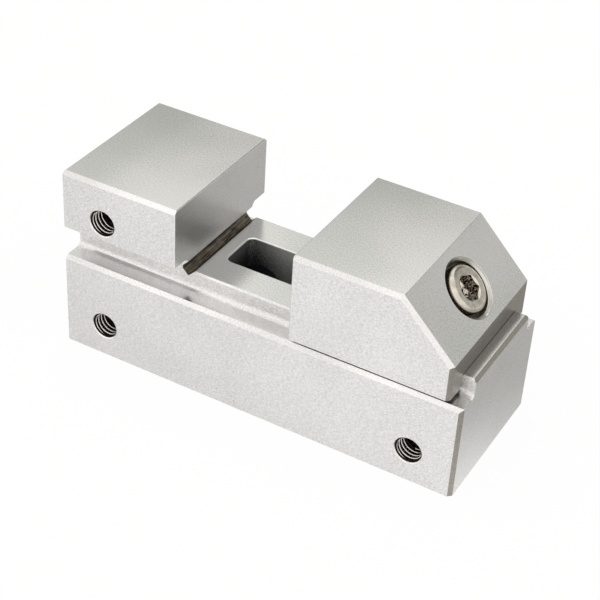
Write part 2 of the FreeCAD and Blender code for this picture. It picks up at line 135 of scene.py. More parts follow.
# %% [markdown]
# ## Studio
# Bare steel has no colour of its own to speak of: it shows the room. A real vise like this is
# photographed on white paper with bright soft walls in front of it, so its upright faces mirror the
# bright paper, its tops mirror the dimmer back of the room, which grows lighter with height, and each
# chamfer flashes as it mirrors the front. The room here is the same, and it is made in three steps: a
# pale floor, the surround, and a soft lamp that gives the shadows a direction.
# The camera should see plain white behind the vise. That is done on the camera's own rays, and
# not with more light, so that the steel keeps its greys. The floor still takes the vise's shadow.
# The paper lies in full light in front and falls into shade behind the vise and to its right. The end
# of the base and the clamping face mirror that part of it, and so they shade from light to dark.

# %% Floor
FLOOR_HALF = 1.5
FLOOR_WHITE_TO_CAMERA = 0.93
FLOOR_WHITE_TO_GLOSS = 0.6
FLOOR_FRONT_LIGHT = 1.05
FLOOR_BACK_LIGHT = 0.24
FADE_FROM = -22 * MM
FADE_TO = 46 * MM
RIGHT_FROM = 45 * MM
RIGHT_TO = 85 * MM
RIGHT_COUNTS_AS = 70 * MM
ACROSS_FROM = -40 * MM
ACROSS_TO = 80 * MM
ACROSS_DARK = 0.86
ACROSS_LIGHT = 1.06
SMOOTH = {"interpolation_type": "SMOOTHSTEP"}

floor_mesh = bpy.data.meshes.new("floor")
corners = [(x * FLOOR_HALF, y * FLOOR_HALF, 0.0) for x, y in ((-1, -1), (1, -1), (1, 1), (-1, 1))]
floor_mesh.from_pydata(corners, [], [(0, 1, 2, 3)])
floor = bpy.data.objects.new("floor", floor_mesh)
bpy.context.scene.collection.objects.link(floor)

paper = bpy.data.materials.new("matt white paper")
paper.use_nodes = True
tree = paper.node_tree
tree.nodes.clear()
ray = add(tree, "LightPath").outputs
to_camera = add(tree, "Math", {"operation": "MULTIPLY"}, {0: ray["Is Camera Ray"], 1: FLOOR_WHITE_TO_CAMERA})
gloss = add(tree, "Math", {"operation": "MAXIMUM"}, {0: ray["Is Glossy Ray"], 1: ray["Is Transmission Ray"]})
to_gloss = add(tree, "Math", {"operation": "MULTIPLY"}, {0: gloss, 1: FLOOR_WHITE_TO_GLOSS})
share = add(tree, "Math", {"operation": "MAXIMUM"}, {0: to_camera, 1: to_gloss})
matt = add(tree, "BsdfDiffuse", fed_by={"Color": linear("#F6F5F4")})
place = add(tree, "SeparateXYZ", fed_by={0: add(tree, "TexCoord").outputs["Object"]}).outputs
right = add(tree, "MapRange", fed_by={0: place["X"], 1: RIGHT_FROM, 2: RIGHT_TO, 3: 0.0, 4: RIGHT_COUNTS_AS})
behind = add(tree, "Math", {"operation": "ADD"}, {0: place["Y"], 1: right})
fade = {0: behind, 1: FADE_FROM, 2: FADE_TO, 3: FLOOR_FRONT_LIGHT, 4: FLOOR_BACK_LIGHT}
faded = add(tree, "MapRange", SMOOTH, fade)
across = add(tree, "Math", {"operation": "SUBTRACT"}, {0: place["X"], 1: place["Y"]})
tilt = {0: across, 1: ACROSS_FROM, 2: ACROSS_TO, 3: ACROSS_DARK, 4: ACROSS_LIGHT}
tilted = add(tree, "MapRange", fed_by=tilt)
lit = add(tree, "Math", {"operation": "MULTIPLY"}, {0: faded, 1: tilted})
seen = add(tree, "Mix", {"data_type": "FLOAT"}, {0: ray["Is Camera Ray"], 2: lit, 3: 1.0})
white = add(tree, "Emission", fed_by={"Color": (1, 1, 1, 1), "Strength": seen})
mixed = add(tree, "MixShader", fed_by={0: share, 1: matt, 2: white})
add(tree, "OutputMaterial", fed_by={"Surface": mixed})
floor_mesh.materials.append(paper)
print("floor:", 2 * FLOOR_HALF, "m square")

# %% [markdown]
# ### The surround
# The light comes from the world itself, so its brightness only depends on the direction looked in.
# The front half is a bright warm white. The back wall is dim, with a bright soft box hung above
# its dark upper edge, which is why the tops shade from dark at the back to light at the front. At its
# foot the white paper sweep shows, as a bright line in rounded inner edges. Behind the vise on the
# right there is a gap between two soft boxes, where the room is dark. Only the corner at the foot of
# the movable jaw mirrors it, and that gap is what makes the corner read as deep.
# A height on the back wall is how steeply one looks up at it, as z over y.

# %% Surround
FRONT_LIGHT = 1.2
FRONT_TOWARDS = (-0.2, -0.98, 0.0)
FRONT_FROM, FRONT_TO = -0.35, 0.4
BACK_WALL = 0.55
BACK_EDGE = 0.43
EDGE_FROM, EDGE_TO = 0.46, 0.62
BACK_HIGH = 1.12
HIGH_FROM, HIGH_TO = 0.69, 0.78
LEFT_X, RIGHT_X = -0.5, -0.3
LEFT_SHARE, RIGHT_SHARE = 0.93, 1.05
GAP_LIGHT = 0.2
GAP_TOWARDS = (0.30, 0.745, 0.595)
GAP_FROM, GAP_TO = 0.94, 0.98
HORIZON_LIGHT = 1.05
HORIZON_FROM, HORIZON_TO = 0.06, 0.2
LEAST_Y = 0.05
DOT = {"operation": "DOT_PRODUCT"}

world = bpy.data.worlds.new("studio surround")
bpy.context.scene.world = world
world.use_nodes = True
tree = world.node_tree
tree.nodes.clear()
ray = add(tree, "LightPath").outputs
towards = add(tree, "TexCoord").outputs["Generated"]
split = add(tree, "SeparateXYZ", fed_by={0: towards}).outputs
away = add(tree, "Math", {"operation": "MAXIMUM"}, {0: split["Y"], 1: LEAST_Y})
height = add(tree, "Math", {"operation": "DIVIDE"}, {0: split["Z"], 1: away})
forward = add(tree, "VectorMath", DOT, {0: towards, 1: FRONT_TOWARDS}).outputs["Value"]
front = add(tree, "MapRange", SMOOTH, {0: forward, 1: FRONT_FROM, 2: FRONT_TO})
edge = add(tree, "MapRange", SMOOTH, {0: height, 1: EDGE_FROM, 2: EDGE_TO, 3: BACK_WALL, 4: BACK_EDGE})
above = add(tree, "MapRange", SMOOTH, {0: height, 1: HIGH_FROM, 2: HIGH_TO})
wall = add(tree, "Mix", {"data_type": "FLOAT"}, {0: above, 2: edge, 3: BACK_HIGH})
low = add(tree, "MapRange", SMOOTH, {0: height, 1: HORIZON_FROM, 2: HORIZON_TO})
tilt = add(tree, "MapRange", fed_by={0: split["X"], 1: LEFT_X, 2: RIGHT_X, 3: LEFT_SHARE, 4: RIGHT_SHARE})
tilted = add(tree, "Math", {"operation": "MULTIPLY"}, {0: wall, 1: tilt})
back = add(tree, "Mix", {"data_type": "FLOAT"}, {0: low, 2: HORIZON_LIGHT, 3: tilted})
both = add(tree, "Mix", {"data_type": "FLOAT"}, {0: front, 2: back, 3: FRONT_LIGHT})
to_gap = add(tree, "VectorMath", DOT, {0: towards, 1: GAP_TOWARDS}).outputs["Value"]
gap = add(tree, "MapRange", SMOOTH, {0: to_gap, 1: GAP_FROM, 2: GAP_TO})
level = add(tree, "Mix", {"data_type": "FLOAT"}, {0: gap, 2: both, 3: GAP_LIGHT})
tint = add(tree, "Mix", {"data_type": "RGBA"}, {0: front, 6: linear("#FFFFF9"), 7: linear("#FFFCFA")})
room = add(tree, "Background", fed_by={"Color": tint.outputs[2], "Strength": level})
plain = add(tree, "Background", fed_by={"Color": (1, 1, 1, 1), "Strength": 1.0})
mixed = add(tree, "MixShader", fed_by={0: ray["Is Camera Ray"], 1: room, 2: plain})
add(tree, "OutputWorld", fed_by={"Surface": mixed})
bpy.context.scene.view_settings.view_transform = "Standard"
print("surround:", FRONT_LIGHT, "in front,", BACK_WALL, "behind, and", BACK_HIGH, "above that")

# %% [markdown]
# ### Soft lamp
# A lamp's brightness, as the steel mirrors it, is its power spread over its area and over pi. It is
# kept far under the surround's, so that no chamfer burns out, and only adds soft shadows.

# %% Soft lamp
LAMP_PLACE = (-0.36, -0.62, 0.62)
LAMP_AIM = (0, 0, 0.02)
LAMP_SIZE = 0.62
LAMP_BRIGHTNESS = 0.05

lamp_data = bpy.data.lights.new("front left", "AREA")
lamp_data.shape = "SQUARE"
lamp_data.size = LAMP_SIZE
lamp_data.energy = LAMP_BRIGHTNESS * math.pi * LAMP_SIZE * LAMP_SIZE
lamp = bpy.data.objects.new("front left", lamp_data)
bpy.context.scene.collection.objects.link(lamp)
lamp.location = LAMP_PLACE
lamp.rotation_euler = (Vector(LAMP_AIM) - Vector(LAMP_PLACE)).to_track_quat("-Z", "Y").to_euler()
print("lamp:", round(lamp_data.energy, 2), "W")

# %% [markdown]
# ## Steel, ground on a surface grinder
# Both blocks are hardened tool steel. A grinding wheel passes to and fro over each face and leaves
# scratches a few hundredths of a millimetre wide, all along its travel. They are far finer than a
# pixel, so they are drawn 0.12 millimetres wide: light catches their sides, and the face shimmers
# instead of lying flat like paint.
# On the sides the scratches lean a little to the vise's length. The tops and ends were ground finer
# and only show a faint even grain. How far a normal points sideways or up decides what its face
# gets. A slow change of grey runs over everything, where the wheel cut a little cleaner or duller.
# The tops and ends get a painted shade that swings slowly along the vise's length, so each top is
# darker at one end and brighter at the other. Here and there is a dark speck of rust.
# Every metal of the vise starts and ends alike, so two functions hold that. In between, its own
# lines draw the pattern that its making left.

# %% Start a metal, draw streaks, scatter specks, finish a metal
STREAK_ROUGHNESS = 0.55


def start_metal(name):
    """Start a material: it, its node tree and the place in millimetres on the piece."""
    steel = bpy.data.materials.new(name)
    steel.use_nodes = True
    tree = steel.node_tree
    tree.nodes.clear()
    place = add(tree, "TexCoord").outputs["Object"]
    in_mm = add(tree, "VectorMath", {"operation": "SCALE"}, {0: place, "Scale": 1 / MM})
    return steel, tree, in_mm


def streaks(tree, place, sizes_mm, turn=(0, 0, 0), detail=2.0):
    """Noise drawn out along one direction: the place is turned, then divided by a streak's sizes."""
    drawn_out = {"Vector": place, "Rotation": turn, "Scale": sizes_mm}
    at = add(tree, "Mapping", {"vector_type": "TEXTURE"}, drawn_out)
    grades = {"Scale": 1.0, "Detail": detail, "Roughness": STREAK_ROUGHNESS}
    return add(tree, "TexNoise", fed_by={"Vector": at, **grades})


def specks(tree, place, apart_mm, radius_mm):
    """1 inside small round specks that lie about so far apart, and 0 outside them."""
    apart = {"Vector": place, "Scale": 1 / apart_mm, "Randomness": 1.0}
    cells = add(tree, "TexVoronoi", {"feature": "F1"}, apart).outputs["Distance"]
    edge = radius_mm / apart_mm
    return add(tree, "MapRange", fed_by={0: cells, 1: edge, 2: edge / 2, 3: 0.0, 4: 1.0})


def finish_metal(steel, tone, stops, roughness, bumps=None, depth_mm=0.0, strength=1.0, spots=None):
    """End a material: its colour follows the tone between two stops, with bumps and spots on it."""
    tree = steel.node_tree
    colour = add(tree, "ValToRGB", fed_by={0: tone})
    for element, (position, hex_colour) in zip(colour.color_ramp.elements, stops):
        element.position = position
        element.color = linear(hex_colour)
    shows = {"Metallic": 1.0, "Base Color": colour, "Roughness": roughness}
    if spots:
        share, hex_colour = spots
        mixed = add(tree, "Mix", {"data_type": "RGBA"}, {0: share, 6: colour, 7: linear(hex_colour)})
        shows["Base Color"] = mixed.outputs[2]
    if bumps:
        depth = {"Height": bumps, "Distance": depth_mm * MM, "Strength": strength}
        shows["Normal"] = add(tree, "Bump", fed_by=depth)
    shader = add(tree, "BsdfPrincipled", fed_by=shows)
    add(tree, "OutputMaterial", fed_by={"Surface": shader})
    print(steel.name, "has", len(tree.nodes), "nodes")


print("each metal's patterns are sized in millimetres")

# %% Ground steel
SIDE_FROM, SIDE_TO = 0.6, 0.9
FLAT_FROM, FLAT_TO = 0.75, 0.95
UP_FROM, UP_TO = 0.3, 0.6
SCRATCH_WIDTH_MM = 0.12
SCRATCH_LENGTH_MM = 0.5
SCRATCH_LEAN = math.radians(-20)
GRAIN_MM = 0.25
GRAIN_ACROSS_MM = 0.4
CLOUD_MM = 16.0
CLOUD_SHARE = 0.5
SHADE_LENGTH_MM = 53.5
SHADE_DARKEST_MM = -45.7
SHADE_SHARE = 0.2
SHADE_MIDDLE = 0.25
GRAIN_CONTRAST = 1.3
SCRATCH_CONTRAST = 4.5
TOP_ROUGHNESS = 0.16
END_ROUGHNESS = 0.32
SIDE_ROUGHNESS = 0.34
ROUGHNESS_VARIES = 0.08
GRAIN_BUMP = 0.1
SCRATCH_BUMP = 0.6
RUST_APART_MM = 5.0
RUST_RADIUS_MM = 0.15

ground_steel, tree, place = start_metal("hardened steel, surface ground")
facing = add(tree, "SeparateXYZ", fed_by={0: add(tree, "TexCoord").outputs["Normal"]}).outputs
to_side = add(tree, "Math", {"operation": "ABSOLUTE"}, {0: facing["Y"]})
side = add(tree, "MapRange", fed_by={0: to_side, 1: SIDE_FROM, 2: SIDE_TO})
flat = add(tree, "MapRange", fed_by={0: to_side, 1: FLAT_FROM, 2: FLAT_TO})
scratch_mm = (SCRATCH_LENGTH_MM, SCRATCH_WIDTH_MM, SCRATCH_WIDTH_MM)
scratches = streaks(tree, place, scratch_mm, (0, -SCRATCH_LEAN, 0))
grain = streaks(tree, place, (GRAIN_MM, GRAIN_ACROSS_MM, GRAIN_MM))
either = add(tree, "Mix", {"data_type": "FLOAT"}, {0: side, 2: grain, 3: scratches})
cloud = streaks(tree, place, (CLOUD_MM,) * 3, detail=1.0)
contrast = add(tree, "MapRange", fed_by={0: flat, 3: GRAIN_CONTRAST, 4: SCRATCH_CONTRAST})
fine = add(tree, "Math", {"operation": "SUBTRACT"}, {0: either, 1: 0.5})
along = add(tree, "SeparateXYZ", fed_by={0: place}).outputs["X"]
# Painted shade along x: a slow sine wave on the tone, full on the tops and ends and none on the sides.
turns = 2 * math.pi / SHADE_LENGTH_MM
from_darkest = {0: along, 1: turns, 2: -turns * SHADE_DARKEST_MM - math.pi / 2}
angle = add(tree, "Math", {"operation": "MULTIPLY_ADD"}, from_darkest)
swing = add(tree, "Math", {"operation": "SINE"}, {0: angle})
reach = add(tree, "MapRange", fed_by={0: side, 3: SHADE_SHARE, 4: 0.0})
shade = add(tree, "Math", {"operation": "MULTIPLY_ADD"}, {0: swing, 1: reach, 2: SHADE_MIDDLE})
slow = add(tree, "Math", {"operation": "MULTIPLY_ADD"}, {0: cloud, 1: CLOUD_SHARE, 2: shade})
tone = add(tree, "Math", {"operation": "MULTIPLY_ADD"}, {0: fine, 1: contrast, 2: slow})
stops = (0.25, "#CFCFCE"), (0.75, "#EDECEC")
end_to_top = {0: facing["Z"], 1: UP_FROM, 2: UP_TO, 3: END_ROUGHNESS, 4: TOP_ROUGHNESS}
upwards = add(tree, "MapRange", fed_by=end_to_top)
coarse = add(tree, "Mix", {"data_type": "FLOAT"}, {0: side, 2: upwards, 3: SIDE_ROUGHNESS})
rough = add(tree, "Math", {"operation": "MULTIPLY_ADD"}, {0: either, 1: ROUGHNESS_VARIES, 2: coarse})
bump = add(tree, "MapRange", fed_by={0: flat, 3: GRAIN_BUMP, 4: SCRATCH_BUMP})
rust = specks(tree, place, RUST_APART_MM, RUST_RADIUS_MM), "#645B53"
finish_metal(ground_steel, tone, stops, rough, bumps=either, depth_mm=0.02, strength=bump, spots=rust)

# %% [markdown]
# ## Steel, milled and left dark
# The relief groove at the jaw's foot was milled before hardening and never ground. It keeps the
# cutter's lines and a brown film from the heat, with scratches of bright metal where the lines were
# rubbed.

# %% Milled steel of the relief groove
MILL_LINE_MM = 0.17
MILL_LENGTH_MM = 4.0
STAIN_MM = (0.6, 1.2, 0.6)
STAIN_SHARE = 0.35

milled_steel, tree, place = start_metal("hardened steel, milled, heat darkened")
lines = streaks(tree, place, (MILL_LINE_MM, MILL_LENGTH_MM, MILL_LINE_MM), detail=3.0)
stains = streaks(tree, place, STAIN_MM, detail=3.0)
tone = add(tree, "Math", {"operation": "MULTIPLY_ADD"}, {0: stains, 1: STAIN_SHARE, 2: lines})
stops = (0.52, "#35302B"), (0.86, "#8C8276")
finish_metal(milled_steel, tone, stops, roughness=0.5, bumps=lines, depth_mm=0.04, strength=0.7)

# %% [markdown]
# ## Steel, milled and blasted
# The slot and the channel under it were milled too, then cleaned with shot, which leaves small
# dents and a dull grey. Further down and towards the corner by the fixed jaw the walls are painted
# darker, a painted shade deep in the slot, so the slot fades to black.

# %% Blasted steel of the slot and channel
SHOT_MM = 0.24
DENT_SHARE = 0.8
SLOT_SHADE_FROM_MM, SLOT_SHADE_TO_MM, SLOT_LIGHT_SHARE = 17.0, 24.5, 0.5
CORNER_SHADE_FROM_MM, CORNER_SHADE_TO_MM, CORNER_SHADE_DARK, CORNER_SHADE_LIGHT = -14.0, -6.0, -0.4, 0.1

blasted_shaded_steel, tree, place = start_metal("hardened steel, milled and shot blasted")
dents = streaks(tree, place, (SHOT_MM,) * 3)
at = add(tree, "SeparateXYZ", fed_by={0: place}).outputs
# Painted shade: the walls grow lighter towards the top of the slot and darker towards the fixed jaw's corner.
out_of_shade = add(tree, "MapRange", fed_by={0: at["Z"], 1: SLOT_SHADE_FROM_MM, 2: SLOT_SHADE_TO_MM, 3: 0.0, 4: SLOT_LIGHT_SHARE})
away = {0: at["X"], 1: CORNER_SHADE_FROM_MM, 2: CORNER_SHADE_TO_MM, 3: CORNER_SHADE_DARK, 4: CORNER_SHADE_LIGHT}
corner = add(tree, "MapRange", fed_by=away)
both = add(tree, "Math", {"operation": "ADD"}, {0: out_of_shade, 1: corner})
tone = add(tree, "Math", {"operation": "MULTIPLY_ADD"}, {0: dents, 1: DENT_SHARE, 2: both})
stops = (0.3, "#35373A"), (1.0, "#D2D5CF")
finish_metal(blasted_shaded_steel, tone, stops, roughness=0.62, bumps=dents, depth_mm=0.05, strength=0.8)

# %% [markdown]
# ## Steel, dull and darker
# The low end face behind the jaw's slope is painted a dull brownish grey, darker than the ground
# steel: painted shade, for that face lies in shade. It stands out against the bright slope above it.

# %% Dull, darker steel of the jaw's back end, painted shade
DULL_GRAIN_MM = 0.25
BARE_APART_MM = 1.6
BARE_RADIUS_MM = 0.13

dull_shaded_steel, tree, place = start_metal("hardened steel, dull, darker as painted shade")
grain = streaks(tree, place, (DULL_GRAIN_MM,) * 3)
# The darker stops are painted shade on the jaw's back face, and the same steel darkens the end chamfers.
stops = (0.3, "#8F8B85"), (0.75, "#B5B1AA")
bare = specks(tree, place, BARE_APART_MM, BARE_RADIUS_MM), "#F4F0E8"
finish_metal(dull_shaded_steel, grain, stops, roughness=0.38, spots=bare)

# %% [markdown]
# ## Steel, tapped
# A tap cuts its thread after drilling. The crests are bright where the tap rubbed them. The flanks
# and roots hold old oil and dirt, and they are painted almost black, for that oil and as painted
# shade deep in the thread. Deeper in, the crests get the same painted shade. That is what makes the
# crests near the mouth stand out as bright arcs.

# %% Tapped steel, crests and roots
RUBBED_MM = 0.7
DIRT_AND_SHADE_MM = 0.5

thread_crest, tree, place = start_metal("steel, tapped thread, bright crest")
rubbed = streaks(tree, place, (RUBBED_MM,) * 3)
stops = (0.3, "#D8D5D0"), (0.65, "#F8F6F2")
finish_metal(thread_crest, rubbed, stops, roughness=0.3)

thread_root_oil_and_shade, tree, place = start_metal("steel, tapped thread, oily root, painted shade")
dirt_and_shade = streaks(tree, place, (DIRT_AND_SHADE_MM,) * 3)
stops = (0.35, "#0E0D0C"), (0.8, "#3A3530")
finish_metal(thread_root_oil_and_shade, dirt_and_shade, stops, roughness=0.42)

# %% [markdown]
# ## Stainless steel, cold headed
# The screw is bright stainless steel. Its head was pressed to shape, which leaves it smooth and
# slightly wavy, with a warmer tint than the ground blocks.

# %% Screw steel
WAVE_MM = 1.3
HAZE_MM = 0.2
HAZE_FROM, HAZE_TO = 0.3, 0.7
SMOOTHEST, ROUGHEST = 0.17, 0.27

screw_steel, tree, place = start_metal("stainless steel, cold headed")
wave = streaks(tree, place, (WAVE_MM,) * 3)
haze = streaks(tree, place, (HAZE_MM,) * 3)
rough = add(tree, "MapRange", fed_by={0: haze, 1: HAZE_FROM, 2: HAZE_TO, 3: SMOOTHEST, 4: ROUGHEST})
stops = (0.3, "#BBB4AA"), (0.75, "#E3DDD4")
finish_metal(screw_steel, wave, stops, rough, bumps=wave, depth_mm=0.04, strength=0.35)

# %% [markdown]
# ### The socket
# It was punched, which tears its walls and floor into small ridges. They are coloured bright on
# near black, which reads as a dark hexagon full of bright squiggles.

# %% Punched steel of the socket
RIDGE_MM = 2 / 3

punched_steel, tree, place = start_metal("stainless steel, punched socket, dark with bright ridges")
torn = {"Vector": place, "Scale": 1 / RIDGE_MM, "Detail": 1.0, "Offset": 0.9}
ridges = add(tree, "TexNoise", {"noise_type": "RIDGED_MULTIFRACTAL", "normalize": False}, torn)
stops = (0.3, "#221C17"), (1.0, "#F2EADF")
finish_metal(punched_steel, ridges, stops, roughness=0.22, bumps=ridges, depth_mm=0.1, strength=0.6)

# %% [markdown]
# ## Steel, turned
# The washer, the cross nut and the counterbore for the screw come off a turning tool. It leaves rings
# round the screw's axis, so the pattern is a noise that changes fast along that axis.

# %% Turned steel
RING_MM = 0.3
RING_LENGTH_MM = 4.0
SCREW_LEAN = math.radians(45)

turned_steel, tree, place = start_metal("hardened steel, turned")
rings = streaks(tree, place, (RING_LENGTH_MM, RING_LENGTH_MM, RING_MM), (0, SCREW_LEAN, 0))
stops = (0.3, "#A8A59F"), (0.7, "#DAD7D1")
finish_metal(turned_steel, rings, stops, roughness=0.33, bumps=rings, depth_mm=0.02, strength=0.4)

# %% [markdown]
# ## The two blocks
# Their shape is right in the CAD solids, so each visible block starts as a copy of its solid's mesh.
# Three things are added that a solid for measuring doesn't have. The faces that were milled get the
# milled finish. The side holes get real threads. And every edge gets a hair of rounding, because
# no real edge is perfectly sharp, and that hair is what draws a bright line round a steel block.

# %% Copy a solid, make a piece, round its edges
WELD_MM = 0.0005
FLAT_WITHIN = math.radians(0.5)
SHARP_FROM = math.radians(28)
ROUNDING_MM = 0.05


def copy_of_solid(node, steels, steel_of, cut_at=None):
    """A welded copy of a solid's mesh in millimetres, cut at a height, with its flat faces whole again."""
    block = bmesh.new()
    block.from_mesh(frame["nodes"][node].data)
    bmesh.ops.scale(block, vec=(1 / MM,) * 3, verts=block.verts)
    bmesh.ops.remove_doubles(block, verts=block.verts, dist=WELD_MM)
    if cut_at:
        parts = block.verts[:] + block.edges[:] + block.faces[:]
        bmesh.ops.bisect_plane(block, geom=parts, plane_co=(0, 0, cut_at), plane_no=(0, 0, 1))
    for face in block.faces:
        face.material_index = steels.index(steel_of(face.calc_center_median(), face.normal))
    whole = {"verts": block.verts, "edges": block.edges}
    bmesh.ops.dissolve_limit(block, angle_limit=FLAT_WITHIN, delimit={"MATERIAL"}, **whole)
    print(node, "copied:", len(block.verts), "corners,", len(block.faces), "faces")
    return block


def make_piece(name, shape, body, steels, stands_for, sharp_from=SHARP_FROM):
    """Turn a shape in millimetres into a piece that rides on a body and stands for its solid."""
    bmesh.ops.scale(shape, vec=(MM,) * 3, verts=shape.verts)
    mesh = bpy.data.meshes.new(name)
    shape.to_mesh(mesh)
    shape.free()
    for steel in steels:
        mesh.materials.append(steel)
    mesh.shade_smooth()
    mesh.set_sharp_from_angle(angle=sharp_from)
    piece = bpy.data.objects.new(name, mesh)
    bpy.context.scene.collection.objects.link(piece)
    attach(piece, body)
    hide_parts(stands_for)
    return piece


def round_edges(piece, width_mm):
    """Round what is sharper than a facet of a curve by a hair."""
    rounding = piece.modifiers.new("broken edges", "BEVEL")
    rounding.width = width_mm * MM
    rounding.segments = 2
    rounding.limit_method = "ANGLE"
    rounding.angle_limit = SHARP_FROM
    rounding.use_clamp_overlap = False
    rounding.miter_outer = "MITER_ARC"
    flat_faces = piece.modifiers.new("flat faces stay flat", "WEIGHTED_NORMAL")
    flat_faces.weight = 100
    flat_faces.keep_sharp = True


print("edges are rounded by", ROUNDING_MM, "mm")

# %% [markdown]
# ### A tapped hole
# A thread is a hole whose radius depends on how far round and how far in you are. Here it is made
# as rings of points that climb by one pitch per turn, like the thread itself, so every crest is
# a clean line. At the mouth the countersink is wider than the thread and wins, and the crests run
# out into it the way they do on the real one. A drill's cone closes the bottom.

# %% Thread
PITCH_MM = 1.0
CREST_END, ROOT_START, ROOT_END = 0.25, 0.5625, 0.6875
THREAD_SHARES = (0, 0.125, CREST_END, 0.4, ROOT_START, ROOT_END, 0.92)


def thread_radius(turn_share, crest, root):
    """Radius of a thread at a share of one turn: crest, flank, root, flank."""
    share = turn_share % 1.0
    if share < CREST_END:
        return crest
    if share < ROOT_START:
        return crest + (root - crest) * (share - CREST_END) / (ROOT_START - CREST_END)
    if share < ROOT_END:
        return root
    return root - (root - crest) * (share - ROOT_END) / (1 - ROOT_END)


def past_seam(number, first, last, turn):
    """The ring that a ring meets where it closes on itself: threads have climbed by one turn there."""
    if number < first:
        return number
    return min(max(number + turn * len(THREAD_SHARES), first), last)


print("one thread turn has", len(THREAD_SHARES), "rings of points")

# %% Tapped hole
TAP_CREST_MM = 2.5
TAP_ROOT_MM = 3.02
TAP_MOUTH_MM = 3.1
TAP_DEPTH_MM = 11.6
DRILL_TIP_MM = 1.5
MOUTH_DEPTHS_MM = (0.2, 0.35, 0.5)
CRESTS_OUT_OF_SHADE_MM = 4.2
CREST_BAND_MM = 0.16
THREAD_WELD_MM = 0.02
ON_FACE_MM = 0.005
ROUND_WITHIN_MM = 0.02
PLAIN_HOLE_MM = 15
HALF_WIDTH_MM = cad_box[1].y / MM


def tap_hole(block, x, z, side, crest_index, root_index):
    """Swap one plain hole for a tapped one. side is -1 for the front face and +1 for the back."""
    face_y = side * HALF_WIDTH_MM
    gone = []
    for face in block.faces:
        near = all(math.hypot(v.co.x - x, v.co.z - z) < TAP_MOUTH_MM + ROUND_WITHIN_MM for v in face.verts)
        inwards = HALF_WIDTH_MM - side * face.calc_center_median().y
        if near and ON_FACE_MM < inwards < PLAIN_HOLE_MM:
            gone.append(face)
    bmesh.ops.delete(block, geom=gone, context="FACES")
    mouth = [v for v in block.verts if abs(v.co.y - face_y) < ON_FACE_MM
             and abs(math.hypot(v.co.x - x, v.co.z - z) - TAP_MOUTH_MM) < ROUND_WITHIN_MM]
    angles = {v: math.atan2(v.co.z - z, v.co.x - x) for v in mouth}
    mouth.sort(key=angles.get)
    depths = list(MOUTH_DEPTHS_MM)
    for turn in range(-1, int(TAP_DEPTH_MM / PITCH_MM) + 1):
        depths += [(turn + share) * PITCH_MM for share in THREAD_SHARES if turn + share > -1]
    rings = [mouth]
    for number, depth in enumerate(depths):
        ring = []
        for start in mouth:
            angle = angles[start]
            climb = side * angle / (2 * math.pi)
            at = depth
            if number >= len(MOUTH_DEPTHS_MM):
                at = min(max(depth + (climb + 1) * PITCH_MM, MOUTH_DEPTHS_MM[-1]), TAP_DEPTH_MM)
            radius = max(TAP_MOUTH_MM - at, thread_radius(at / PITCH_MM - climb, TAP_CREST_MM, TAP_ROOT_MM))
            point = (x + radius * math.cos(angle), face_y - side * at, z + radius * math.sin(angle))
            ring.append(block.verts.new(point))
        rings.append(ring)
    tip = block.verts.new((x, face_y - side * (TAP_DEPTH_MM + DRILL_TIP_MM), z))
    made = []
    count = len(mouth)
    first, last = len(MOUTH_DEPTHS_MM), len(rings) - 1
    for number, (outer_ring, inner_ring) in enumerate(zip(rings, rings[1:])):
        for i in range(count):
            next_outer, next_inner, j = outer_ring, inner_ring, i + 1
            if j == count:
                next_outer = rings[past_seam(number, first, last, side)]
                next_inner = rings[past_seam(number + 1, first, last, side)]
                j = 0
            corners = list(dict.fromkeys((outer_ring[i], next_outer[j], next_inner[j], inner_ring[i])))
            radii = [math.hypot(v.co.x - x, v.co.z - z) for v in corners]
            face = block.faces.new(corners)
            # Crests near the mouth keep the bright steel. Deeper crests, the flanks and the roots take the root
            # steel, painted dark for oil and as painted shade deep in the hole.
            out_of_shade = side * corners[0].co.y > HALF_WIDTH_MM - CRESTS_OUT_OF_SHADE_MM
            on_crest = out_of_shade and max(radii) < TAP_CREST_MM + CREST_BAND_MM
            face.material_index = crest_index if on_crest or outer_ring is mouth else root_index
            made.append(face)
    for i in range(count):
        made.append(block.faces.new((rings[-1][i], rings[-1][(i + 1) % count], tip)))
        made[-1].material_index = root_index
    if side > 0:
        for face in made:
            face.normal_flip()
    points = list(dict.fromkeys(v for face in made for v in face.verts))
    bmesh.ops.remove_doubles(block, verts=points, dist=THREAD_WELD_MM)
    bmesh.ops.collapse(block, edges=[edge for edge in block.edges if edge.is_boundary])
    return count


print("half width", round(HALF_WIDTH_MM, 3), "mm")

# %% [markdown]
# ### The fixed block
# The record says where each tapped hole is, so the threads can't end up anywhere else.
# Which steel a face shows follows from where it is and which way it looks. A normal has nearly 1
# along an axis when its face looks that way, and about 0.7 along each of two on a chamfer between
# them. x is counted from the fixed jaw's end.

# %% Fixed block
RELIEF_X_MM = (25.2, 28.6)
RELIEF_Z_MM = (24.4, 28.2)
CHANNEL_X_MM = (20, 80)
CHANNEL_Z_MM = (0.4, 25.65)
CHANNEL_HALF_MM = 8.45
CHANNEL_WALL_MM = 8.6
RAIL_END_X_MM = 90.6
RAIL_END_Z_MM = (25.2, 26.05)
CORNER_X_MM = 90
CORNER_Y_MM = 16.5
LOOKS_ALONG = 0.9
CHAMFERED = 0.6
LEANS = 0.05

body_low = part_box("vise_body")[0] / MM
body_steels = [ground_steel, milled_steel, blasted_shaded_steel, thread_crest, thread_root_oil_and_shade, dull_shaded_steel]


def within(value, limits):
    """True where a value lies between two limits."""
    return limits[0] < value < limits[1]


